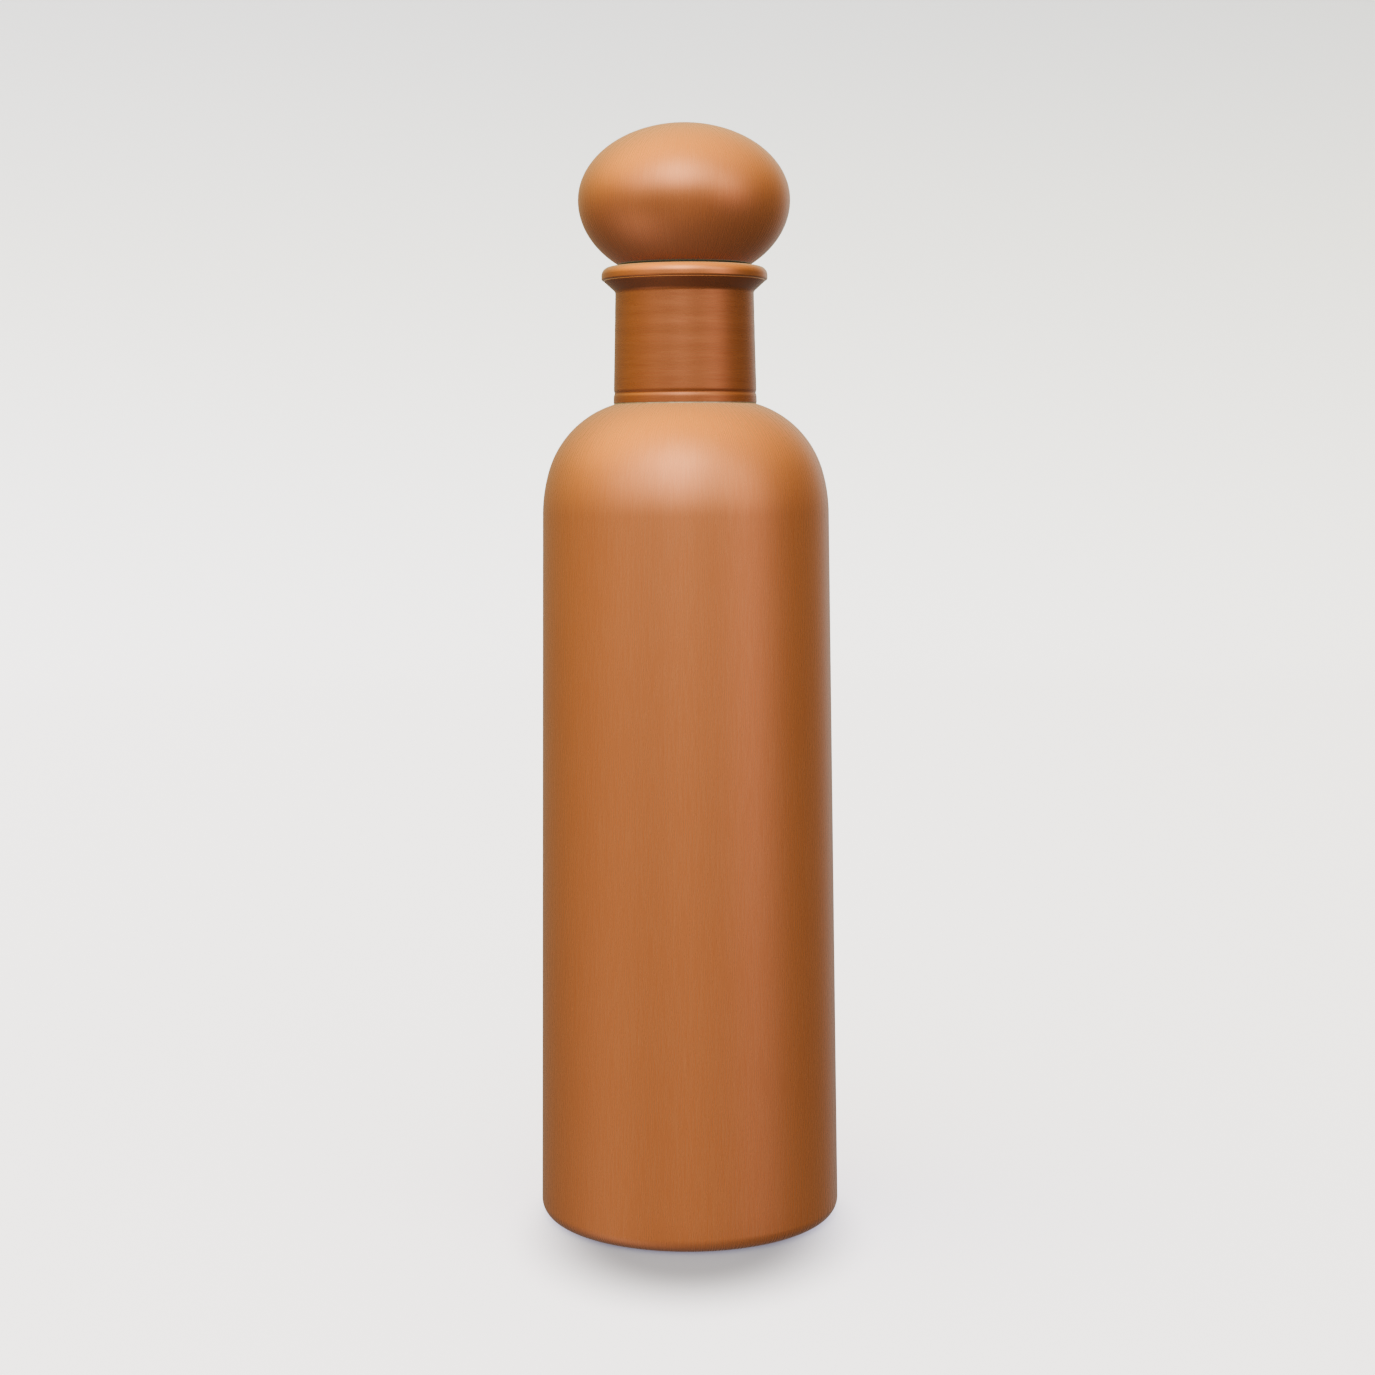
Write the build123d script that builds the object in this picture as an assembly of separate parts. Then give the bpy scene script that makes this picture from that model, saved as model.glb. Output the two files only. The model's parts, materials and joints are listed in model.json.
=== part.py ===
"""Copper water bottle with a screw-in ball lid, as an assembly of separate pieces.

Frame: millimetres, +Z up, origin at the centre of the foot ring on the surface the bottle stands on.
The bottle is spun and drawn from copper sheet, so most pieces are sheets turned about +Z. The lid
screws into a brass bush in the neck by a two-start thread, and seals on a silicone gasket.
"""

from build123d import *
import math
import os

# Sheet and joint gaps
BODY_SHEET = 0.7
NECK_SHEET = 0.7
BASE_SHEET = 0.8
KNOB_SHEET = 0.7
BRAZE_GAP = 0.05

# Body: a slightly tapered wall, a foot corner, and a shoulder of two tangent arcs
FOOT_RADIUS = 37.96
WALL_TAPER = 0.0123
FOOT_CORNER = 3.8
FOOT_LIP_INNER = 31.5
WALL_TOP = 178.5
SHOULDER_EASE_RADIUS, SHOULDER_EASE_DEG = 39.25, 15.74
SHOULDER_RADIUS = 24.5
COLLAR_TOP, COLLAR_TOP_RADIUS = 212.0, 16.85

# Base plate: a flat rim on the foot lip, and a centre pushed up clear of the table
BASE_EDGE = 34.05
BASE_STEP_OUTER, BASE_STEP_INNER = 29.5, 27.0
BASE_RISE, BASE_CROWN = 2.7, 3.5
BASE_BEND = 1.5

# Neck tube: waisted a little towards the mouth, then flared to carry the rim ring
NECK_BOTTOM, NECK_MIDDLE, NECK_THROAT = 205.95, 218.0, 232.85
NECK_BOTTOM_RADIUS, NECK_MIDDLE_RADIUS, NECK_THROAT_RADIUS = 17.85, 17.54, 17.2
GROOVE_HEIGHT, GROOVE_RADIUS = 208.35, 0.42
THROAT_BEND, FLARE_DEG, FLARE_LENGTH = 1.2, 48.0, 3.3

# Rim ring, with a shallow step in its top for the gasket
RIM_RADIUS, RIM_TOP = 20.6, 239.4
RIM_SEAT, RIM_SEAT_RADIUS = 239.1, 16.85
RIM_BORE = 15.9
RIM_FOOT, RIM_FOOT_INSET = 233.55, 0.65
RIM_TOP_ROUND, RIM_LOW_ROUND, RIM_BORE_ROUND = 2.1, 0.4, 0.3
RIM_LIP_ABOVE_FLARE = 0.12

# Screw thread of the lid
THREAD_STARTS = 2
THREAD_LEAD = 6.0
THREAD_BOTTOM, THREAD_HEIGHT = 223.3, 9.0
THREAD_ROOT_WIDTH, THREAD_CREST_WIDTH = 1.8, 0.9
THREAD_BITE = 0.1
BUSH_ROOT, BUSH_CREST = 15.9, 14.8
PLUG_ROOT, PLUG_CREST = 14.6, 15.7
BUSH_BOTTOM = 222.0
BUSH_BOTTOM_RADIUS, BUSH_TOP_RADIUS = 16.65, 16.4

# Lid: the ball knob is two half shells of different depth on one equator
KNOB_FLOOR = 240.1
KNOB_EQUATOR = 255.67
KNOB_RADIUS = 26.25
CROWN_DEPTH, CUP_DEPTH = 18.8, 20.1
BACKING_RADIUS, BACKING_SHEET, BACKING_HEIGHT = 25.1, 0.8, 6.0

# Gasket
GASKET_INNER, GASKET_OUTER, GASKET_ROUND = 14.75, 16.7, 0.25

# Plug, its cap, and the fastening to the knob
PLUG_BOTTOM, PLUG_BORE, PLUG_WEB = 222.0, 12.9, 2.5
PLUG_EDGE = 0.5
CAP_INSET, CAP_HEIGHT, CAP_SHEET = 0.3, 4.0, 0.7
BOSS_FLANGE_RADIUS, BOSS_FLANGE = 8.0, 1.6
BOSS_RADIUS, BOSS_TOP = 5.0, 250.0
BOSS_SPIGOT, FLOOR_HOLE = 3.95, 4.0
BOSS_HOLE_TOP = 248.5
SCREW_RADIUS, SCREW_TIP = 2.5, 247.5
SCREW_HOLE_IN_BOSS, SCREW_HOLE_IN_WEB = 2.55, 2.75
SCREW_HEAD_RADIUS, SCREW_HEAD = 4.25, 3.0
SOCKET_ACROSS_FLATS, SOCKET_DEPTH = 4.0, 2.0
WASHER_RADIUS, WASHER_SHEET, WASHER_SPLIT = 4.6, 1.0, 0.8


def turned(face):
    """A face drawn in (radius, height), turned about +Z."""
    return revolve(Plane.XZ * face, axis=Axis.Z)


def sheet(outline, thickness, side=Side.LEFT):
    """Sheet metal of one thickness on one side of an outline drawn in (radius, height)."""
    band = offset(Curve() + outline, amount=thickness, side=side, closed=True)
    return turned(make_face(band.edges()))


def ring(inner, outer, bottom, top):
    """A plain ring about +Z between two heights."""
    return turned(Polygon((inner, bottom), (outer, bottom), (outer, top), (inner, top), align=None))


def disc(radius, bottom, top):
    """A plain solid cylinder about +Z between two heights."""
    return Pos(0, 0, bottom) * Cylinder(
        radius, top - bottom, align=(Align.CENTER, Align.CENTER, Align.MIN)
    )


def wall_radius(height):
    """Outer radius of the body's tapered wall."""
    return FOOT_RADIUS - WALL_TAPER * height


def body_outline():
    """Outer line of the body: foot lip, corner, wall, shoulder, and the collar inside the neck."""
    collar_radius = NECK_BOTTOM_RADIUS - NECK_SHEET - BRAZE_GAP
    foot_and_wall = FilletPolyline(
        (FOOT_LIP_INNER, 0),
        (wall_radius(0), 0),
        (wall_radius(WALL_TOP), WALL_TOP),
        radius=FOOT_CORNER,
    )
    ease = JernArc(
        foot_and_wall @ 1, foot_and_wall % 1, SHOULDER_EASE_RADIUS, SHOULDER_EASE_DEG
    )
    lean = math.degrees(math.atan(WALL_TAPER)) + SHOULDER_EASE_DEG
    centre = (ease @ 1).X - SHOULDER_RADIUS * math.cos(math.radians(lean))
    end = math.degrees(math.acos((collar_radius - centre) / SHOULDER_RADIUS))
    shoulder = JernArc(ease @ 1, ease % 1, SHOULDER_RADIUS, end - lean)
    collar = Line(shoulder @ 1, (COLLAR_TOP_RADIUS, COLLAR_TOP))
    return [*foot_and_wall.edges(), ease, shoulder, collar]


def body_envelope():
    """Everything inside the body's outer line, as one solid."""
    outline = body_outline()
    top, foot = outline[-1] @ 1, outline[0] @ 0
    closing = Polyline(top, (0, top.Y), (0, foot.Y), foot)
    return turned(make_face([*outline, *closing.edges()]))


def body_shell():
    """Drawn wall with its foot turned in, its shoulder spun over and a collar spun up."""
    return sheet(body_outline(), BODY_SHEET)


def base_plate():
    """Pressed disc that lies on the turned-in foot lip."""
    rim = BODY_SHEET
    outline = FilletPolyline(
        (BASE_EDGE, rim),
        (BASE_STEP_OUTER, rim),
        (BASE_STEP_INNER, rim + BASE_RISE),
        (0, rim + BASE_CROWN),
        radius=BASE_BEND,
    )
    return sheet(outline.edges(), BASE_SHEET, Side.RIGHT)


def base_braze_ring(shell):
    """Silver solder run into the corner between the base plate's edge and the wall."""
    bottom = BODY_SHEET
    fillet_face = Polygon(
        (BASE_EDGE, bottom),
        (FOOT_RADIUS, bottom),
        (FOOT_RADIUS, bottom + 2.2 * BASE_SHEET),
        (BASE_EDGE, bottom + BASE_SHEET),
        align=None,
    )
    return (turned(fillet_face) & body_envelope()) - shell


def neck_outline():
    """Outer line of the neck tube up to the lip of its flare, and the flare's own line."""
    tube = ThreePointArc(
        (NECK_BOTTOM_RADIUS, NECK_BOTTOM),
        (NECK_MIDDLE_RADIUS, NECK_MIDDLE),
        (NECK_THROAT_RADIUS, NECK_THROAT),
    )
    throat = JernArc(tube @ 1, tube % 1, THROAT_BEND, -FLARE_DEG)
    flare = Line(throat @ 1, throat @ 1 + (throat % 1) * FLARE_LENGTH)
    return [tube, throat, flare]


def neck_tube():
    """Neck drawn from tube, slipped over the body's collar, with a turned line near its foot."""
    tube = sheet(neck_outline(), NECK_SHEET)
    groove = Pos(NECK_BOTTOM_RADIUS, GROOVE_HEIGHT) * Circle(GROOVE_RADIUS)
    return tube - turned(groove)


def neck_braze_ring():
    """Silver solder under the neck tube's lower edge, on the shoulder."""
    inner = NECK_BOTTOM_RADIUS - NECK_SHEET
    outer = NECK_BOTTOM_RADIUS - 2 * BRAZE_GAP
    return ring(inner, outer, NECK_BOTTOM - 1.0, NECK_BOTTOM - BRAZE_GAP) - body_envelope()


def rim_ring():
    """Solid turned ring with a rolled outer edge, seated in the neck's flare."""
    flare = neck_outline()[-1]
    along = flare % 0
    inwards = Vector(-along.Y, along.X)
    seat_low = flare @ 0 + inwards * (NECK_SHEET + BRAZE_GAP)
    seat_high = flare @ 1 + inwards * (NECK_SHEET + BRAZE_GAP) + along * BRAZE_GAP
    lip = (flare @ 1).Y + RIM_LIP_ABOVE_FLARE
    section = Polygon(
        (RIM_BORE, RIM_FOOT),
        (seat_low.X - RIM_FOOT_INSET, RIM_FOOT),
        (seat_low.X, seat_low.Y),
        (seat_high.X, seat_high.Y),
        (RIM_RADIUS, lip),
        (RIM_RADIUS, RIM_TOP),
        (RIM_SEAT_RADIUS, RIM_TOP),
        (RIM_SEAT_RADIUS, RIM_SEAT),
        (RIM_BORE, RIM_SEAT),
        align=None,
    )
    rounds = (
        ((RIM_RADIUS, RIM_TOP), RIM_TOP_ROUND),
        ((RIM_RADIUS, lip), RIM_LOW_ROUND),
        ((RIM_BORE, RIM_SEAT), RIM_BORE_ROUND),
    )
    for place, radius in rounds:
        corner = section.vertices().sort_by_distance(Vector(*place))[0]
        section = fillet(corner, radius)
    return turned(section)


def thread_ridges(root, crest, first_angle):
    """One trapezoid ridge for each start, swept along its helix and rooted a little in the wall."""
    buried = root - math.copysign(THREAD_BITE, crest - root)
    half_root, half_crest = THREAD_ROOT_WIDTH / 2, THREAD_CREST_WIDTH / 2
    section = Polygon(
        (buried, -half_root), (crest, -half_crest), (crest, half_crest), (buried, half_root), align=None
    )
    path = Helix(pitch=THREAD_LEAD, height=THREAD_HEIGHT, radius=buried)
    ridge = sweep(Plane.XZ * section, path=path, is_frenet=True)
    ridge = Pos(0, 0, THREAD_BOTTOM) * ridge
    angles = [first_angle + 360 * start / THREAD_STARTS for start in range(THREAD_STARTS)]
    return [Rot(0, 0, angle) * ridge for angle in angles]


def thread_bush():
    """Brass bush with the internal thread, brazed in the neck."""
    wall = turned(
        Polygon(
            (BUSH_ROOT, BUSH_BOTTOM),
            (BUSH_BOTTOM_RADIUS, BUSH_BOTTOM),
            (BUSH_TOP_RADIUS, RIM_FOOT),
            (BUSH_ROOT, RIM_FOOT),
            align=None,
        )
    )
    for ridge in thread_ridges(BUSH_ROOT, BUSH_CREST, 0):
        wall += ridge
    return wall


def threaded_plug():
    """Brass plug with the external thread, bored out from below, its web against the knob."""
    half_pitch_turn = 180 / THREAD_STARTS
    core = chamfer(disc(PLUG_ROOT, PLUG_BOTTOM, KNOB_FLOOR).edges().sort_by(Axis.Z)[0], PLUG_EDGE)
    for ridge in thread_ridges(PLUG_ROOT, PLUG_CREST, half_pitch_turn):
        core += ridge
    core -= disc(PLUG_BORE, PLUG_BOTTOM, KNOB_FLOOR - PLUG_WEB)
    return core - disc(SCREW_HOLE_IN_WEB, PLUG_BOTTOM, KNOB_FLOOR)


def plug_cap():
    """Pressed copper cup that closes the plug's bore."""
    radius = PLUG_BORE - BRAZE_GAP
    bottom = PLUG_BOTTOM + CAP_INSET
    outline = FilletPolyline(
        (0, bottom), (radius, bottom), (radius, bottom + CAP_HEIGHT), radius=1.2
    )
    return sheet(outline.edges(), CAP_SHEET)


def ball(radius, depth):
    """Ellipsoid about the centre of the knob's equator."""
    return Pos(0, 0, KNOB_EQUATOR) * scale(Sphere(radius), by=(1, 1, depth / radius))


def knob_crown():
    """Spun upper half of the hollow ball."""
    inside = ball(KNOB_RADIUS - KNOB_SHEET, CROWN_DEPTH - KNOB_SHEET)
    above_equator = disc(2 * KNOB_RADIUS, KNOB_EQUATOR, KNOB_EQUATOR + KNOB_RADIUS)
    return (ball(KNOB_RADIUS, CROWN_DEPTH) - inside) & above_equator


def knob_cup():
    """Spun lower half of the hollow ball, with a flat floor and a hole for the boss."""
    above_floor = disc(2 * KNOB_RADIUS, KNOB_FLOOR, KNOB_EQUATOR)
    above_sheet = disc(2 * KNOB_RADIUS, KNOB_FLOOR + KNOB_SHEET, KNOB_EQUATOR)
    outside = ball(KNOB_RADIUS, CUP_DEPTH) & above_floor
    inside = ball(KNOB_RADIUS - KNOB_SHEET, CUP_DEPTH - KNOB_SHEET) & above_sheet
    cup = outside - inside - disc(FLOOR_HOLE, KNOB_FLOOR, KNOB_FLOOR + KNOB_SHEET)
    floor_rim = cup.edges().filter_by(GeomType.CIRCLE).group_by(Axis.Z)[0].sort_by(SortBy.RADIUS)[-1]
    return fillet(floor_rim, 0.4)


def knob_backing_ring():
    """Strip ring inside the equator that lines up and backs the brazed halves."""
    low = KNOB_EQUATOR - BACKING_HEIGHT / 2
    return ring(BACKING_RADIUS - BACKING_SHEET, BACKING_RADIUS, low, low + BACKING_HEIGHT)


def knob_boss():
    """Brass boss brazed on the knob's floor, drilled and tapped from below."""
    flange_bottom = KNOB_FLOOR + KNOB_SHEET
    boss = disc(BOSS_FLANGE_RADIUS, flange_bottom, flange_bottom + BOSS_FLANGE)
    boss += disc(BOSS_RADIUS, flange_bottom, BOSS_TOP)
    boss += disc(BOSS_SPIGOT, KNOB_FLOOR, flange_bottom)
    boss = chamfer(boss.edges().group_by(Axis.Z)[-1], PLUG_EDGE)
    return boss - disc(SCREW_HOLE_IN_BOSS, KNOB_FLOOR, BOSS_HOLE_TOP)


def spring_washer():
    """Split spring washer under the screw's head."""
    top = KNOB_FLOOR - PLUG_WEB
    washer = ring(SCREW_HOLE_IN_WEB, WASHER_RADIUS, top - WASHER_SHEET, top)
    split = Pos(WASHER_RADIUS / 2, 0, top) * Box(WASHER_RADIUS, WASHER_SPLIT, 4 * WASHER_SHEET)
    return washer - split


def fixing_screw():
    """Socket screw from inside the plug up into the boss."""
    head_top = KNOB_FLOOR - PLUG_WEB - WASHER_SHEET
    head_bottom = head_top - SCREW_HEAD
    screw = disc(SCREW_HEAD_RADIUS, head_bottom, head_top)
    screw = chamfer(screw.edges().group_by(Axis.Z)[0], PLUG_EDGE)
    screw += disc(SCREW_RADIUS, head_top, SCREW_TIP)
    socket = RegularPolygon(SOCKET_ACROSS_FLATS / 2, 6, major_radius=False)
    return screw - Pos(0, 0, head_bottom) * extrude(socket, SOCKET_DEPTH)


def lid_gasket():
    """Flat silicone ring between the knob's floor and the rim, kept on the plug by its thread."""
    gasket = ring(GASKET_INNER, GASKET_OUTER, RIM_SEAT, KNOB_FLOOR)
    return fillet(gasket.edges().filter_by(GeomType.CIRCLE), GASKET_ROUND)


def main():
    shell = body_shell()
    pieces = {
        "body_shell": shell,
        "base_plate": base_plate(),
        "base_braze_ring": base_braze_ring(shell),
        "neck_tube": neck_tube(),
        "neck_braze_ring": neck_braze_ring(),
        "rim_ring": rim_ring(),
        "thread_bush": thread_bush(),
        "lid_gasket": lid_gasket(),
        "threaded_plug": threaded_plug(),
        "plug_cap": plug_cap(),
        "spring_washer": spring_washer(),
        "fixing_screw": fixing_screw(),
        "knob_boss": knob_boss(),
        "knob_cup": knob_cup(),
        "knob_backing_ring": knob_backing_ring(),
        "knob_crown": knob_crown(),
    }
    os.makedirs("parts", exist_ok=True)
    for name, piece in pieces.items():
        export_step(piece, f"parts/{name}.step")


main()
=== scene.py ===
"""Looks of a copper water bottle with a screw-in ball lid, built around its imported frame.

Metres, +Z up, origin at the centre of the foot ring. Sizes are written in millimetres and turned
to metres by MM. The file follows the bottle as it is put together: body, base, neck, rim, bush,
gasket, then the lid, and last the floor, the light and the camera.
"""

import json
import math

import bpy
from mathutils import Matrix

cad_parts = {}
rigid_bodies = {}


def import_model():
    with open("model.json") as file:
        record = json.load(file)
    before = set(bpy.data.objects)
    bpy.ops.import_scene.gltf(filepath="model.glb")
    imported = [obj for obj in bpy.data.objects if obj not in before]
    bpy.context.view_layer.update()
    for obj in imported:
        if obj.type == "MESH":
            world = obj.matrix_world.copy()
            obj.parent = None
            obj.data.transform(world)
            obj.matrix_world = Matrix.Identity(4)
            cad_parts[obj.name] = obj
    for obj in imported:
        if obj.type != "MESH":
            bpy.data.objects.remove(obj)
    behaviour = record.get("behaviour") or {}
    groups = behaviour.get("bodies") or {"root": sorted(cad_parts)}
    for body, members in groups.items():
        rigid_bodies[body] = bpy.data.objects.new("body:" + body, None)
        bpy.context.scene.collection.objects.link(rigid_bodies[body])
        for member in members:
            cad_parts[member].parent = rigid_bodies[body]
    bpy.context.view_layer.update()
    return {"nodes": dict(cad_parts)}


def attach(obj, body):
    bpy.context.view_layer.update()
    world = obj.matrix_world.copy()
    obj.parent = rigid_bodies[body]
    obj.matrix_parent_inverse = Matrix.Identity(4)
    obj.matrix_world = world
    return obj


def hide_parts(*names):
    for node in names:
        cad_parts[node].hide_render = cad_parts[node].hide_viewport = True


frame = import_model()
nodes = frame["nodes"]

MM = 0.001

# ---- Body wall --------------------------------------------------------------------------------
# One wall of 0.7 mm copper sheet, drawn to a slightly tapered cup with its foot turned in. The
# shoulder is spun over a former and ends in a collar inside the neck. It is brushed up and down.

body_sheet = 0.7
foot_radius, wall_taper, foot_corner = 37.96, 0.0123, 3.8
foot_lip_inner = 31.5
wall_top = 178.5
ease_radius, ease_turn = 39.25, 15.74
shoulder_radius = 24.5
collar_radius, collar_top, collar_top_radius = 17.1, 212.0, 16.85
lathe_steps, weld_distance = 192, 0.002
round_above, smooth_below = math.radians(50), math.radians(35)


def arc(centre, radius, first, last, steps):
    """Points of an arc in (radius, height), with angles in degrees from straight outwards."""
    turns = [math.radians(first + (last - first) * i / steps) for i in range(steps + 1)]
    return [(centre[0] + radius * math.cos(t), centre[1] + radius * math.sin(t)) for t in turns]


def run(start, end, steps):
    """Points of a straight run in (radius, height), without its two ends."""
    shares = [i / steps for i in range(1, steps)]
    return [tuple(a + (b - a) * share for a, b in zip(start, end)) for share in shares]


def turn(name, outline):
    """Turns an outline of (radius, height) in millimetres about the bottle's axis, as on a lathe.

    The outline runs with the piece's outside on its right.
    """
    bpy.ops.object.select_all(action="DESELECT")
    bpy.ops.mesh.primitive_plane_add(size=MM)
    piece = bpy.context.object
    piece.name = piece.data.name = name
    bpy.ops.object.mode_set(mode="EDIT")
    bpy.ops.mesh.select_all(action="SELECT")
    bpy.ops.mesh.merge(type="CENTER")
    bpy.ops.transform.translate(value=(outline[0][0] * MM, 0, outline[0][1] * MM))
    for (r0, z0), (r1, z1) in zip(outline, outline[1:]):
        step = ((r1 - r0) * MM, 0, (z1 - z0) * MM)
        bpy.ops.mesh.extrude_region_move(TRANSFORM_OT_translate={"value": step})
    bpy.ops.mesh.select_all(action="SELECT")
    bpy.ops.mesh.spin(steps=lathe_steps, angle=2 * math.pi, center=(0, 0, 0), axis=(0, 0, 1))
    bpy.ops.mesh.select_all(action="SELECT")
    bpy.ops.mesh.remove_doubles(threshold=weld_distance * MM)
    bpy.ops.mesh.normals_make_consistent(inside=False)
    bpy.ops.object.mode_set(mode="OBJECT")

    # An open skin has no inside of its own, so its first run settles which way it faces
    (r0, z0), (r1, z1) = outline[:2]
    found, _, facing, _ = piece.closest_point_on_mesh(((r0 + r1) / 2 * MM, 0, (z0 + z1) / 2 * MM))
    if found and facing[0] * (z1 - z0) - facing[2] * (r1 - r0) < 0:
        bpy.ops.object.mode_set(mode="EDIT")
        bpy.ops.mesh.select_all(action="SELECT")
        bpy.ops.mesh.flip_normals()
        bpy.ops.object.mode_set(mode="OBJECT")
    return piece


def finish_sheet(piece, thickness, edge=0.12):
    """Gives a turned skin its sheet thickness inwards, and breaks its cut edges unless edge is 0."""
    wall = piece.modifiers.new("sheet", "SOLIDIFY")
    wall.thickness = thickness * MM
    wall.offset = -1
    wall.use_even_offset = True
    bpy.ops.object.modifier_apply(modifier="sheet")
    if edge:
        soften(piece, edge)


def soften(piece, edge):
    """Rounds the sharp edges of a piece and shades it smooth."""
    rounding = piece.modifiers.new("edges", "BEVEL")
    rounding.width = edge * MM
    rounding.segments = 3
    rounding.limit_method = "ANGLE"
    rounding.angle_limit = round_above
    bpy.ops.object.modifier_apply(modifier="edges")
    bpy.ops.object.shade_smooth_by_angle(angle=smooth_below)


lean = math.degrees(math.atan(wall_taper))
stretch = math.hypot(1, wall_taper)
corner_centre = (foot_radius - wall_taper * foot_corner - foot_corner * stretch, foot_corner)
corner = arc(corner_centre, foot_corner, -90, lean, 16)
wall_end = (foot_radius - wall_taper * wall_top, wall_top)
ease_centre = (
    wall_end[0] - ease_radius * math.cos(math.radians(lean)),
    wall_end[1] - ease_radius * math.sin(math.radians(lean)),
)
ease = arc(ease_centre, ease_radius, lean, lean + ease_turn, 10)
steep = math.radians(lean + ease_turn)
shoulder_centre = (
    ease[-1][0] - shoulder_radius * math.cos(steep),
    ease[-1][1] - shoulder_radius * math.sin(steep),
)
shoulder_end = math.degrees(math.acos((collar_radius - shoulder_centre[0]) / shoulder_radius))
shoulder = arc(shoulder_centre, shoulder_radius, lean + ease_turn, shoulder_end, 30)
body_outline = [
    (foot_lip_inner, 0),
    *corner,
    *run(corner[-1], wall_end, 36),
    *ease,
    *shoulder[1:],
    *run(shoulder[-1], (collar_top_radius, collar_top), 4),
    (collar_top_radius, collar_top),
]
body_wall = turn("body_wall", body_outline)
finish_sheet(body_wall, body_sheet)


def streaked_metal(name, shades, streak, grain, roughness, depth, metallic=1.0, lacquer=0.0):
    """Metal worked in fine streaks that run up a piece or round it.

    shades are the dark, middle and light colours; streak is a streak's width and length in
    millimetres; grain is "up" or "round"; roughness is that of the light streaks and of the dark
    ones; depth is how deep the streaks are cut, in millimetres; lacquer is the weight of the coat.
    """
    metal = bpy.data.materials.new(name)
    metal.use_nodes = True
    tree = metal.node_tree
    shader = tree.nodes["Principled BSDF"]
    add, link = tree.nodes.new, tree.links.new
    place = add("ShaderNodeTexCoord").outputs["Object"]

    # How far round the axis a point is, as a unit vector, and how far along the piece's outline
    flat, round_axis, radius = (add("ShaderNodeVectorMath") for _ in range(3))
    flat.operation, round_axis.operation, radius.operation = "MULTIPLY", "NORMALIZE", "LENGTH"
    flat.inputs[1].default_value = (1, 1, 0)
    link(place, flat.inputs[0])
    link(flat.outputs["Vector"], round_axis.inputs[0])
    link(flat.outputs["Vector"], radius.inputs[0])
    height, along, upright = add("ShaderNodeSeparateXYZ"), add("ShaderNodeMath"), add("ShaderNodeCombineXYZ")
    along.operation = "SUBTRACT"
    link(place, height.inputs[0])
    link(height.outputs["Z"], along.inputs[0])
    link(radius.outputs["Value"], along.inputs[1])
    link(along.outputs[0], upright.inputs["Z"])

    # Both are scaled so that the noise below has streaks of the width and length asked for
    width, length = streak
    around_size, along_size = (width, length) if grain == "up" else (length, width)
    typical_radius, cloud_size, cloud_shift = 30, 28, 0.15
    around, upwards, spot = (add("ShaderNodeVectorMath") for _ in range(3))
    around.operation = upwards.operation = "SCALE"
    spot.operation = "ADD"
    around.inputs["Scale"].default_value = typical_radius / around_size
    upwards.inputs["Scale"].default_value = 1 / (along_size * MM)
    link(round_axis.outputs["Vector"], around.inputs[0])
    link(upright.outputs["Vector"], upwards.inputs[0])
    link(around.outputs["Vector"], spot.inputs[0])
    link(upwards.outputs["Vector"], spot.inputs[1])
    streaks = add("ShaderNodeTexNoise")
    streaks.inputs["Scale"].default_value = 1
    streaks.inputs["Detail"].default_value = 3
    streaks.inputs["Roughness"].default_value = 0.6
    link(spot.outputs["Vector"], streaks.inputs["Vector"])

    # Clouds of handling and air tarnish, tens of millimetres across, shift the streaks' shade
    tarnish = add("ShaderNodeTexNoise")
    tarnish.inputs["Scale"].default_value = 1 / (cloud_size * MM)
    tarnish.inputs["Detail"].default_value = 2
    link(place, tarnish.inputs["Vector"])
    shift, shade = add("ShaderNodeMapRange"), add("ShaderNodeMath")
    shift.inputs["To Min"].default_value, shift.inputs["To Max"].default_value = -cloud_shift, cloud_shift
    shade.operation = "ADD"
    link(tarnish.outputs["Fac"], shift.inputs["Value"])
    link(streaks.outputs["Fac"], shade.inputs[0])
    link(shift.outputs["Result"], shade.inputs[1])
    colours = add("ShaderNodeValToRGB")
    ramp = colours.color_ramp
    ramp.elements[0].position, ramp.elements[1].position = 0.2, 0.8
    ramp.elements[0].color, ramp.elements[1].color = (*shades[0], 1), (*shades[2], 1)
    ramp.elements.new(0.5).color = (*shades[1], 1)
    link(shade.outputs[0], colours.inputs["Fac"])
    link(colours.outputs["Color"], shader.inputs["Base Color"])

    dullness, relief = add("ShaderNodeMapRange"), add("ShaderNodeBump")
    dullness.inputs["From Min"].default_value, dullness.inputs["From Max"].default_value = 0.25, 0.75
    dullness.inputs["To Min"].default_value = roughness[1]
    dullness.inputs["To Max"].default_value = roughness[0]
    link(shade.outputs[0], dullness.inputs["Value"])
    link(dullness.outputs["Result"], shader.inputs["Roughness"])
    relief.inputs["Strength"].default_value = 1
    relief.inputs["Distance"].default_value = depth * MM
    link(streaks.outputs["Fac"], relief.inputs["Height"])
    link(relief.outputs["Normal"], shader.inputs["Normal"])
    shader.inputs["Metallic"].default_value = metallic
    shader.inputs["Coat Weight"].default_value = lacquer
    shader.inputs["Coat Roughness"].default_value = 0.3
    shader.inputs["Coat IOR"].default_value = 1.5
    return metal


copper_shades = ((0.54, 0.190, 0.076), (0.56, 0.207, 0.087), (0.58, 0.224, 0.097))
brushed_copper = streaked_metal(
    "brushed copper", copper_shades, (0.32, 7.0), "up", (0.26, 0.29), 0.0008, metallic=0.6, lacquer=0.6
)
body_wall.data.materials.append(brushed_copper)
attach(body_wall, "bottle")
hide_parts("body_shell")

# ---- Base plate and its solder ------------------------------------------------------------------
# A disc of 0.8 mm copper pressed with a step, so that its centre stands clear of the table. It
# lies on the turned-in foot and is soldered round its edge from inside.

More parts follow.
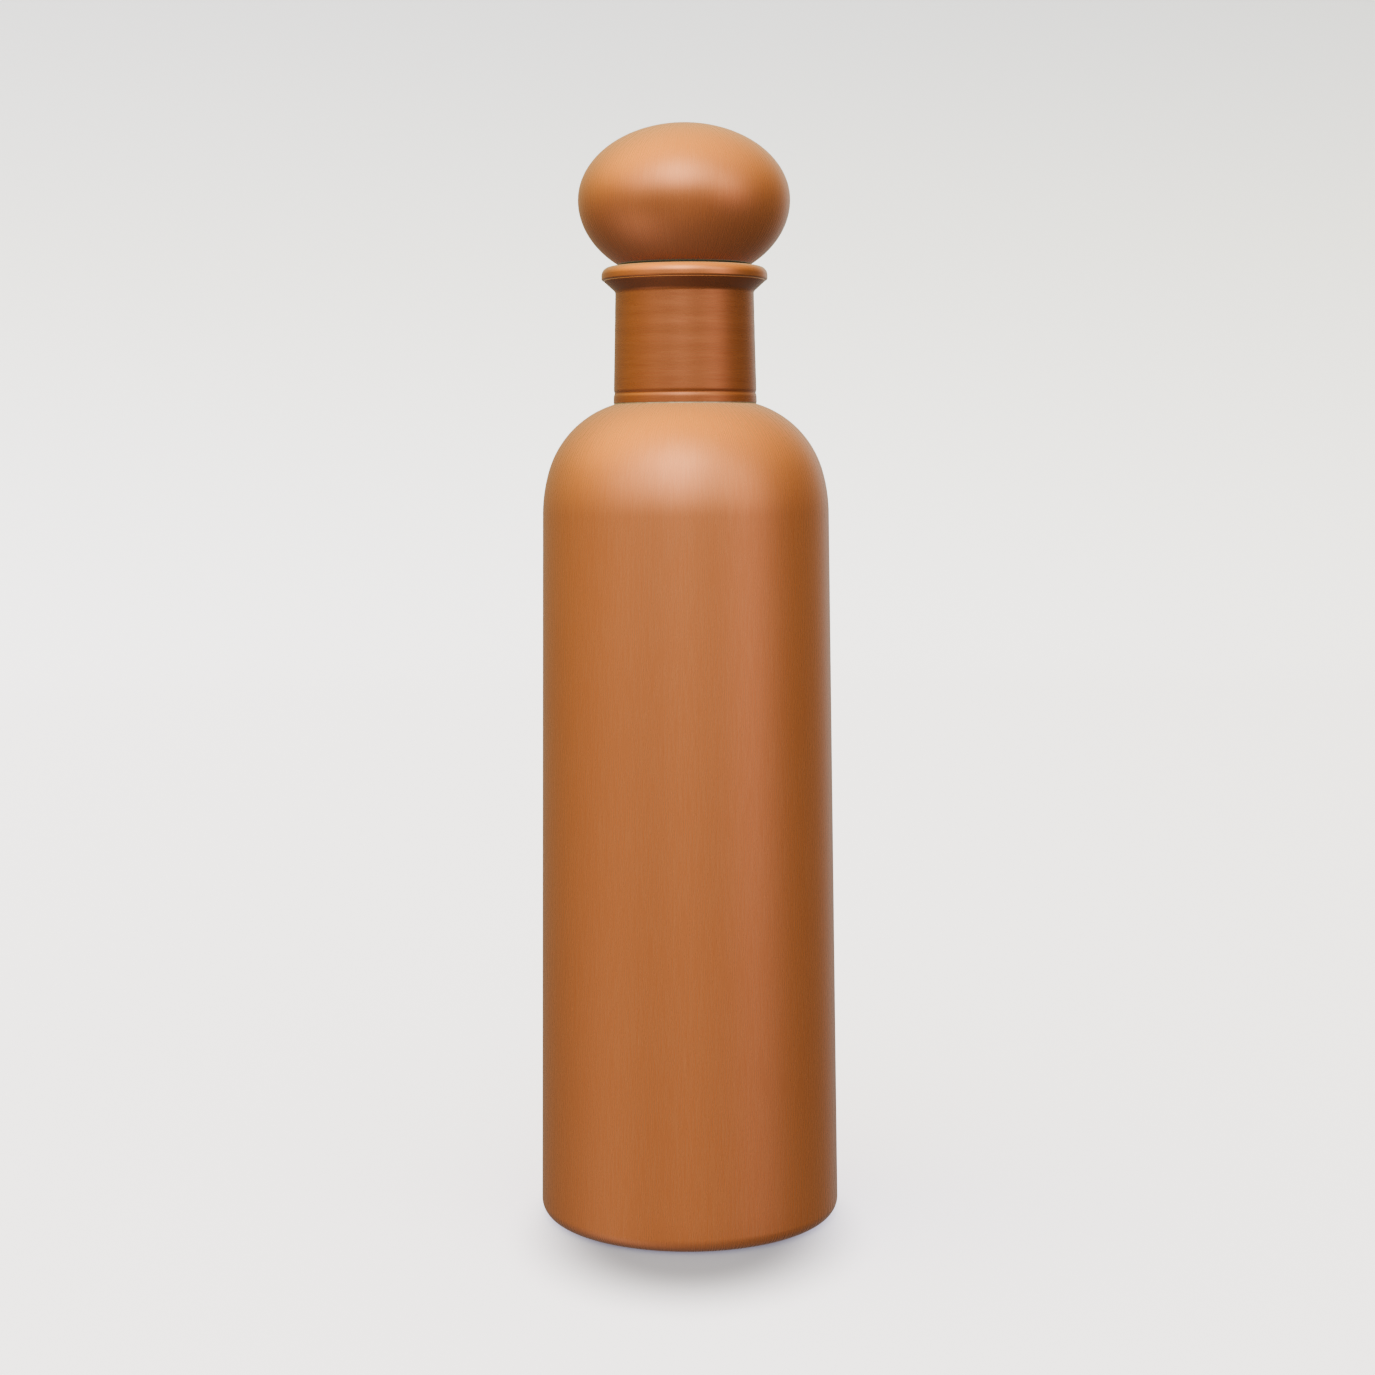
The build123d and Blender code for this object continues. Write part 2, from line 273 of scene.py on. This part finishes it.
base_edge, base_sheet = 34.05, 0.8
step_outer, step_inner, base_rise, base_crown = 29.5, 27.0, 2.7, 3.5
step_bend, step_points, crown_points = 0.6, 16, 12
step_start, step_width = step_outer + step_bend, step_outer - step_inner + 2 * step_bend
base_outline = [(base_edge, body_sheet), *run((base_edge, body_sheet), (step_start, body_sheet), 5)]
for i in range(step_points + 1):
    share = i / step_points
    eased = share * share * (3 - 2 * share)
    base_outline.append((step_start - share * step_width, body_sheet + base_rise * eased))
inner_edge = base_outline[-1]
for i in range(1, crown_points + 1):
    share = i / crown_points
    height = body_sheet + base_rise + (base_crown - base_rise) * math.sin(share * math.pi / 2)
    base_outline.append((inner_edge[0] * (1 - share), height))
base_disc = turn("base_disc", base_outline)

# The outline is the disc's underside, so the sheet is added upwards
base_wall = base_disc.modifiers.new("sheet", "SOLIDIFY")
base_wall.thickness = base_sheet * MM
base_wall.offset = 1
bpy.ops.object.modifier_apply(modifier="sheet")
soften(base_disc, 0.1)
spun_copper = streaked_metal(
    "spun copper", copper_shades, (0.35, 11.0), "round", (0.26, 0.30), 0.001, metallic=0.6, lacquer=0.6
)
base_disc.data.materials.append(spun_copper)
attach(base_disc, "bottle")
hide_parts("base_plate")


def dress(names, metal):
    """Gives pieces that keep their own shape a metal of their own."""
    for name in names:
        nodes[name].data.materials.clear()
        nodes[name].data.materials.append(metal)


solder_shades = ((0.42, 0.34, 0.25), (0.55, 0.46, 0.34), (0.66, 0.58, 0.45))
solder = streaked_metal("run solder", solder_shades, (1.2, 2.0), "round", (0.4, 0.6), 0.02)
dress(("base_braze_ring", "neck_braze_ring"), solder)

# ---- Neck ---------------------------------------------------------------------------------------
# Drawn from 0.7 mm copper tube, slipped over the body's collar, soldered to it and flared at the
# mouth. The spinning tool left soft waves round it, and one line is cut round its foot.

neck_sheet = 0.7
neck_bottom, neck_middle, neck_throat = 205.95, 218.0, 232.85
bottom_radius, middle_radius, throat_radius = 17.85, 17.54, 17.2
groove_height, groove_depth, groove_width = 208.35, 0.2, 0.7
throat_bend, flare_angle, flare_length = 1.2, 48.0, 3.3
wave_height, wave_length = 0.012, 4.3
fine_step, fine_count, coarse_step, coarse_count = 0.07, 50, 0.25, 94


def neck_radius(height):
    """Outer radius of the neck: a gentle curve through its foot, middle and throat."""
    places = ((neck_bottom, bottom_radius), (neck_middle, middle_radius), (neck_throat, throat_radius))
    total = 0
    for z, r in places:
        others = [other for other, _ in places if other != z]
        total += r * math.prod((height - other) / (z - other) for other in others)
    return total


def worked_radius(height):
    """The neck's radius with the tool's waves, fading out at both ends, and the cut line."""
    share = (height - groove_height) / (neck_throat - groove_height)
    fade = math.sin(math.pi * share) if 0 < share < 1 else 0
    waves = math.sin(2 * math.pi * height / wave_length) + 0.6 * math.sin(5.1 * height / wave_length)
    radius = neck_radius(height) + wave_height * fade * waves
    return radius - groove_depth * math.exp(-(((height - groove_height) / groove_width) ** 2) * 2)


# Fine steps over the cut line, then coarser ones up to the throat
neck_heights = [neck_bottom + fine_step * i for i in range(fine_count)]
neck_heights += [neck_heights[-1] + coarse_step * i for i in range(1, coarse_count + 1)]
throat = arc((throat_radius + throat_bend, neck_throat), throat_bend, 180, 180 - flare_angle, 10)
flare_out, flare_up = math.sin(math.radians(flare_angle)), math.cos(math.radians(flare_angle))
flare_end = (throat[-1][0] + flare_length * flare_out, throat[-1][1] + flare_length * flare_up)
neck_outline = [(worked_radius(z), z) for z in neck_heights if z < neck_throat]
neck_outline += [*throat, *run(throat[-1], flare_end, 4), flare_end]
neck = turn("neck", neck_outline)
finish_sheet(neck, neck_sheet, 0.1)
# Painted shade: the neck's colours are a much darker copy of the body's copper, so the whole neck renders
# darker than the body
neck_painted_shade_colours = ((0.35, 0.112, 0.042), (0.38, 0.129, 0.050), (0.41, 0.146, 0.058))
neck_copper_painted_shade = streaked_metal(
    "neck copper", neck_painted_shade_colours, (0.6, 14.0), "round", (0.25, 0.29), 0.0008, metallic=0.6, lacquer=0.6
)
neck.data.materials.append(neck_copper_painted_shade)
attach(neck, "bottle")
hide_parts("neck_tube")

# ---- Rim ring -----------------------------------------------------------------------------------
# A solid copper ring turned with a full round edge, seated in the neck's flare with its lip over
# the flare's cut edge. It is the one piece that is polished half bright, because lips touch it.

rim_radius, rim_top, rim_bore, rim_foot = 20.6, 239.4, 15.9, 233.55
rim_seat, rim_seat_radius = 239.1, 16.85
top_round, low_round, bore_round = 2.1, 0.5, 0.3
seat_clearance, lip_gap, foot_inset, lip_start = 0.05, 0.12, 0.65, -84
seat_gap = neck_sheet + seat_clearance
seat_low = (throat[-1][0] - flare_up * seat_gap, throat[-1][1] + flare_out * seat_gap)
seat_high = (
    flare_end[0] - flare_up * seat_gap + flare_out * seat_clearance,
    flare_end[1] + flare_out * seat_gap + flare_up * seat_clearance,
)
lip = flare_end[1] + lip_gap
rim_outline = [
    (rim_bore, rim_foot),
    (seat_low[0] - foot_inset, rim_foot),
    seat_low,
    seat_high,
    *arc((rim_radius - low_round, lip + low_round), low_round, lip_start, 0, 12),
    *arc((rim_radius - top_round, rim_top - top_round), top_round, 0, 90, 24),
    (rim_seat_radius, rim_top),
    (rim_seat_radius, rim_seat),
    *arc((rim_bore + bore_round, rim_seat - bore_round), bore_round, 90, 180, 6),
    *run((rim_bore, rim_seat - bore_round), (rim_bore, rim_foot), 4),
    (rim_bore, rim_foot),
]
rim = turn("rim", rim_outline)
soften(rim, 0.08)
polished_copper = streaked_metal(
    "polished copper", copper_shades, (0.3, 20.0), "round", (0.14, 0.18), 0.0006, metallic=0.8, lacquer=0.6
)
rim.data.materials.append(polished_copper)
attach(rim, "bottle")
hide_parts("rim_ring")

# ---- Brass: thread bush, plug and boss ----------------------------------------------------------
# The bush in the neck and the plug under the ball are turned from brass bar with a two-start
# thread, and the boss takes the plug's screw. Their shapes are the frame's own.

brass_shades = ((0.58, 0.38, 0.12), (0.70, 0.48, 0.18), (0.80, 0.60, 0.27))
turned_brass = streaked_metal("turned brass", brass_shades, (0.18, 30.0), "round", (0.2, 0.34), 0.004)
dress(("thread_bush", "threaded_plug", "knob_boss"), turned_brass)

# ---- Screw and spring washer --------------------------------------------------------------------
# Bought stainless pieces inside the plug: the screw goes up through the plug's web into the boss,
# and the split washer under its head keeps it tight.

steel_shades = ((0.40, 0.40, 0.41), (0.52, 0.52, 0.53), (0.62, 0.62, 0.62))
turned_steel = streaked_metal("turned steel", steel_shades, (0.15, 12.0), "round", (0.22, 0.36), 0.003)
dress(("fixing_screw", "spring_washer"), turned_steel)

# ---- Gasket -------------------------------------------------------------------------------------
# A moulded silicone ring that sits round the plug, where the ball presses it on the rim. It is
# dark and matt, and its outer edge bulges a little.

gasket_inner, gasket_outer, gasket_round = 14.75, 16.2, 0.25
knob_floor = 240.1
gasket_mid = (rim_seat + knob_floor) / 2
gasket_clearance = 0.005
gasket_half = (knob_floor - rim_seat) / 2 - gasket_clearance
gasket_outline = [
    *arc((gasket_outer, gasket_mid), gasket_half, -90, 90, 16),
    *arc((gasket_inner + gasket_round, gasket_mid + gasket_half - gasket_round), gasket_round, 90, 180, 5),
    *arc((gasket_inner + gasket_round, gasket_mid - gasket_half + gasket_round), gasket_round, 180, 270, 5),
    (gasket_outer, gasket_mid - gasket_half),
]
gasket = turn("gasket", gasket_outline)
bpy.ops.object.shade_smooth_by_angle(angle=smooth_below)
silicone = bpy.data.materials.new("dark silicone")
silicone.use_nodes = True
rubber, rubber_nodes = silicone.node_tree, silicone.node_tree.nodes
grain = rubber_nodes.new("ShaderNodeTexNoise")
grain.inputs["Scale"].default_value = 1 / (0.4 * MM)
grain_place = rubber_nodes.new("ShaderNodeTexCoord")
grain_colour = rubber_nodes.new("ShaderNodeValToRGB")
grain_colour.color_ramp.elements[0].color = (0.012, 0.009, 0.008, 1)
grain_colour.color_ramp.elements[1].color = (0.03, 0.022, 0.018, 1)
grain_relief = rubber_nodes.new("ShaderNodeBump")
grain_relief.inputs["Distance"].default_value = 0.01 * MM
rubber.links.new(grain_place.outputs["Object"], grain.inputs["Vector"])
rubber.links.new(grain.outputs["Fac"], grain_colour.inputs["Fac"])
rubber.links.new(grain.outputs["Fac"], grain_relief.inputs["Height"])
rubber.links.new(grain_colour.outputs["Color"], rubber_nodes["Principled BSDF"].inputs["Base Color"])
rubber.links.new(grain_relief.outputs["Normal"], rubber_nodes["Principled BSDF"].inputs["Normal"])
rubber_nodes["Principled BSDF"].inputs["Roughness"].default_value = 0.6
gasket.data.materials.append(silicone)
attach(gasket, "gasket")
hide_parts("lid_gasket")

# ---- Ball of the lid ----------------------------------------------------------------------------
# Two spun copper halves of different depth, brazed on one equator over a strip ring and then
# brushed up and down as one, so that no joint shows.

ball_radius, ball_equator = 26.25, 255.67
crown_depth, cup_depth, ball_sheet = 18.8, 20.1, 0.7
joint_gap, floor_overlap = 0.2, 1.0
floor_hole, floor_round, floor_slope, corner_inset = 4.0, 1.0, 33.4, 0.3


def oval(depth, first, last, steps):
    """Points of the ball's oval outline, with angles in degrees from the equator outwards."""
    turns = [math.radians(first + (last - first) * i / steps) for i in range(steps + 1)]
    return [(ball_radius * math.cos(t), ball_equator + depth * math.sin(t)) for t in turns]


floor_turn = math.degrees(math.asin((ball_equator - knob_floor) / cup_depth))
cup_side = oval(cup_depth, -floor_turn + floor_overlap, -joint_gap, 40)
floor_edge = math.cos(math.radians(floor_turn)) * ball_radius
floor_corner = (floor_edge - corner_inset, knob_floor + floor_round)
cup_outline = [
    (floor_hole, knob_floor),
    *run((floor_hole, knob_floor), (floor_corner[0], knob_floor), 10),
    *arc(floor_corner, floor_round, -90, floor_slope - 90, 5),
    *cup_side,
    (ball_radius, ball_equator),
]
ball_cup = turn("ball_cup", cup_outline)
finish_sheet(ball_cup, ball_sheet, 0)
bpy.ops.object.shade_smooth_by_angle(angle=smooth_below)
crown_outline = [(ball_radius, ball_equator), *oval(crown_depth, joint_gap, 90, 60)]
crown_outline[-1] = (0, ball_equator + crown_depth)
ball_crown = turn("ball_crown", crown_outline)
finish_sheet(ball_crown, ball_sheet, 0)
bpy.ops.object.shade_smooth_by_angle(angle=smooth_below)
for half, node in ((ball_cup, "knob_cup"), (ball_crown, "knob_crown")):
    half.data.materials.append(brushed_copper)
    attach(half, "lid")
    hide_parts(node)
dress(("knob_backing_ring",), brushed_copper)

# ---- Plug cap -----------------------------------------------------------------------------------
# A cup pressed from 0.7 mm copper sheet and pushed up into the plug's bore. It closes the bore
# from below.

cap_radius, cap_bottom, cap_height, cap_bend, cap_sheet = 12.85, 222.3, 4.0, 1.2, 0.7
cap_rim = (cap_radius, cap_bottom + cap_height)
cap_outline = [(0, cap_bottom), *run((0, cap_bottom), (cap_radius - cap_bend, cap_bottom), 10)]
cap_outline += arc((cap_radius - cap_bend, cap_bottom + cap_bend), cap_bend, -90, 0, 10)
cap_outline += [*run(cap_outline[-1], cap_rim, 4), cap_rim]
cap = turn("plug_end", cap_outline)
finish_sheet(cap, cap_sheet, 0.1)
cap.data.materials.append(spun_copper)
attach(cap, "lid")
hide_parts("plug_cap")

# A setting of the render only: the pieces are kept out of each other's reflections. Seen in the
# sheen, the neck would leave a dark orange patch on the shoulder, and the rim one under the ball
for piece in bpy.data.objects:
    if piece.type == "MESH":
        piece.visible_glossy = False

# ---- Floor and sweep ----------------------------------------------------------------------------
# A pale seamless sweep of matt paper: a floor that curves up into a wall all round, well away from
# the bottle. Only the camera sees it: it takes no part in reflections, shadows or bounced light.

floor_radius, sweep_bend, sweep_top = 1400, 700, 2400
sweep_outline = [(0, 0), (60, 0), (150, 0), (400, 0), (900, 0)]
sweep_outline += arc((floor_radius, sweep_bend), sweep_bend, -90, 0, 24)
sweep_outline += [(floor_radius + sweep_bend, sweep_top)]
sweep = turn("sweep", sweep_outline)
bpy.ops.object.shade_smooth()
paper = bpy.data.materials.new("pale paper")
paper.use_nodes = True
paper_nodes, paper_link = paper.node_tree.nodes, paper.node_tree.links.new
paper_shader = paper_nodes["Principled BSDF"]
paper_shader.inputs["Roughness"].default_value = 0.95
paper_shader.inputs["Specular IOR Level"].default_value = 0.1

# Its glow is painted light: the paper glows to stand in for the light on it, less as it climbs
# and less towards the right. Close round the foot and in front of it, both its glow and its colour are
# darkened in a painted shadow of the bottle.
shadow_middle, shadow_squeeze, shadow_dark, shadow_light = 14.8, 0.74, 20, 48
glow_level, glow_in_shadow = 0.72, 0.28
paper_place = paper_nodes.new("ShaderNodeTexCoord").outputs["Object"]
climb, off_foot = paper_nodes.new("ShaderNodeVectorMath"), paper_nodes.new("ShaderNodeVectorMath")
climb.operation, off_foot.operation = "DOT_PRODUCT", "DISTANCE"
climb.inputs[1].default_value = (-0.16, 0, -0.42)
off_foot.inputs[1].default_value = (0, -shadow_middle * MM, 0)
longer = paper_nodes.new("ShaderNodeVectorMath")
longer.operation = "MULTIPLY"
longer.inputs[1].default_value = (1, shadow_squeeze, 1)
level, painted_shadow_fade, glow = (paper_nodes.new("ShaderNode" + kind) for kind in ("Math", "MapRange", "Math"))
level.operation, glow.operation = "ADD", "MULTIPLY"
level.inputs[1].default_value = glow_level
painted_shadow_fade.interpolation_type = "SMOOTHSTEP"
painted_shadow_fade.inputs["From Min"].default_value = shadow_dark * MM
painted_shadow_fade.inputs["From Max"].default_value = shadow_light * MM
painted_shadow_fade.inputs["To Min"].default_value = glow_in_shadow
# The paper's colour, taken towards black in the painted shadow round the foot
shade = paper_nodes.new("ShaderNodeMixRGB")
shade.inputs["Color1"].default_value = (0, 0, 0, 1)
shade.inputs["Color2"].default_value = (0.60, 0.60, 0.64, 1)
paper_link(paper_place, climb.inputs[0])
paper_link(paper_place, longer.inputs[0])
paper_link(longer.outputs["Vector"], off_foot.inputs[0])
paper_link(climb.outputs["Value"], level.inputs[0])
paper_link(off_foot.outputs["Value"], painted_shadow_fade.inputs["Value"])
paper_link(level.outputs[0], glow.inputs[0])
paper_link(painted_shadow_fade.outputs["Result"], glow.inputs[1])
paper_link(painted_shadow_fade.outputs["Result"], shade.inputs["Fac"])
paper_link(shade.outputs["Color"], paper_shader.inputs["Base Color"])
paper_link(glow.outputs[0], paper_shader.inputs["Emission Strength"])

# The painted glow is a shade cooler on the floor than high on the wall
height, warmer = paper_nodes.new("ShaderNodeSeparateXYZ"), paper_nodes.new("ShaderNodeMapRange")
warmer.inputs["From Max"].default_value = 400 * MM
glow_colour = paper_nodes.new("ShaderNodeMixRGB")
glow_colour.inputs["Color1"].default_value = (0.985, 0.975, 1.24, 1)
glow_colour.inputs["Color2"].default_value = (1.0, 0.95, 0.96, 1)
paper_link(paper_place, height.inputs[0])
paper_link(height.outputs["Z"], warmer.inputs["Value"])
paper_link(warmer.outputs["Result"], glow_colour.inputs["Fac"])
paper_link(glow_colour.outputs["Color"], paper_shader.inputs["Emission Color"])
sweep.data.materials.append(paper)
for rays in ("visible_glossy", "visible_shadow", "visible_diffuse"):
    setattr(sweep, rays, False)

# ---- Light --------------------------------------------------------------------------------------
# A dim tent all round with soft round panels in it. The strong ones are overhead, in front and at
# the left; weaker ones on the right, behind and low down fill the shade.

tent = bpy.data.worlds.new("tent")
bpy.context.scene.world = tent
tent.use_nodes = True
tent_nodes, tent_link = tent.node_tree.nodes, tent.node_tree.links.new
direction = tent_nodes.new("ShaderNodeTexCoord").outputs["Generated"]
lamp = tent_nodes["Background"]
tent_light = tent_nodes.new("ShaderNodeRGB").outputs["Color"]
tent_light.default_value = (0.13, 0.145, 0.14, 1)


def panel(across, up, spread, colour):
    """Adds a soft round panel to the tent. Its angles are in degrees.

    across is 0 at the camera's side of the tent and 90 at the right, up is above the horizon, and
    spread is where the panel has faded by two fifths.
    """
    global tent_light
    flat = math.cos(math.radians(up))
    aim = tent_nodes.new("ShaderNodeVectorMath")
    aim.operation = "DOT_PRODUCT"
    aim.inputs[1].default_value = (
        math.sin(math.radians(across)) * flat,
        -math.cos(math.radians(across)) * flat,
        math.sin(math.radians(up)),
    )
    fade, glow, sum_so_far = (tent_nodes.new("ShaderNode" + kind) for kind in ("Math", "Math", "MixRGB"))
    fade.operation, glow.operation = "MULTIPLY_ADD", "EXPONENT"
    steepness = 0.5 / (1 - math.cos(math.radians(spread)))
    fade.inputs[1].default_value, fade.inputs[2].default_value = steepness, -steepness
    sum_so_far.blend_type = "ADD"
    sum_so_far.use_clamp = False
    sum_so_far.inputs["Color2"].default_value = (*colour, 1)
    tent_link(direction, aim.inputs[0])
    tent_link(aim.outputs["Value"], fade.inputs[0])
    tent_link(fade.outputs[0], glow.inputs[0])
    tent_link(glow.outputs[0], sum_so_far.inputs["Fac"])
    tent_link(tent_light, sum_so_far.inputs["Color1"])
    tent_light = sum_so_far.outputs["Color"]


panel(0, 90, 34, (1.34, 1.20, 0.50))
panel(-8, 46, 17, (1.35, 1.68, 1.90))
panel(-4, 24, 15, (0.95, 0.98, 0.97))
panel(40, 24, 18, (0.87, 0.92, 0.90))
panel(-45, 24, 18, (0.81, 0.83, 0.84))
panel(-90, 45, 25, (1.16, 1.00, 0.42))
panel(80, 48, 25, (0.36, 0.31, 0.23))
panel(0, 2, 16, (0.08, 0.06, 0.05))
panel(52, 0, 14, (0.17, 0.07, 0.12))
panel(-85, 0, 22, (0.06, 0.06, 0.10))
panel(150, 5, 16, (0.17, 0.21, 0.26))
panel(180, 40, 28, (0.40, 0.22, 0.08))
panel(-70, -45, 20, (0.30, 0.30, 0.34))
panel(0, -28, 20, (0.20, 0.18, 0.16))
panel(60, -6, 18, (0.06, 0.10, 0.17))
panel(0, -75, 35, (0.10, 0.11, 0.15))
panel(-60, -34, 15, (0.16, 0.14, 0.10))
panel(55, 12, 14, (0.20, 0.18, 0.12))
tent_link(tent_light, lamp.inputs["Color"])
lamp.inputs["Strength"].default_value = 1

# ---- Camera -------------------------------------------------------------------------------------
# Stands 0.6 m in front of the bottle, at the height of its shoulder and on its middle line,
# looking slightly down.

camera_distance, camera_height, camera_side = 609.9, 194.23, 0.5
camera_dip, camera_roll, camera_lens = 5.58, 0.34, 63.6
bpy.ops.object.camera_add(location=(camera_side * MM, -camera_distance * MM, camera_height * MM))
camera = bpy.context.object
camera.rotation_euler = (math.radians(90 - camera_dip), math.radians(camera_roll), 0)
camera.data.lens = camera_lens
camera.data.sensor_width = 36
camera.data.clip_start = 0.01
bpy.context.scene.camera = camera
bpy.context.scene.view_settings.view_transform = "AgX"
bpy.context.scene.view_settings.look = "AgX - High Contrast"
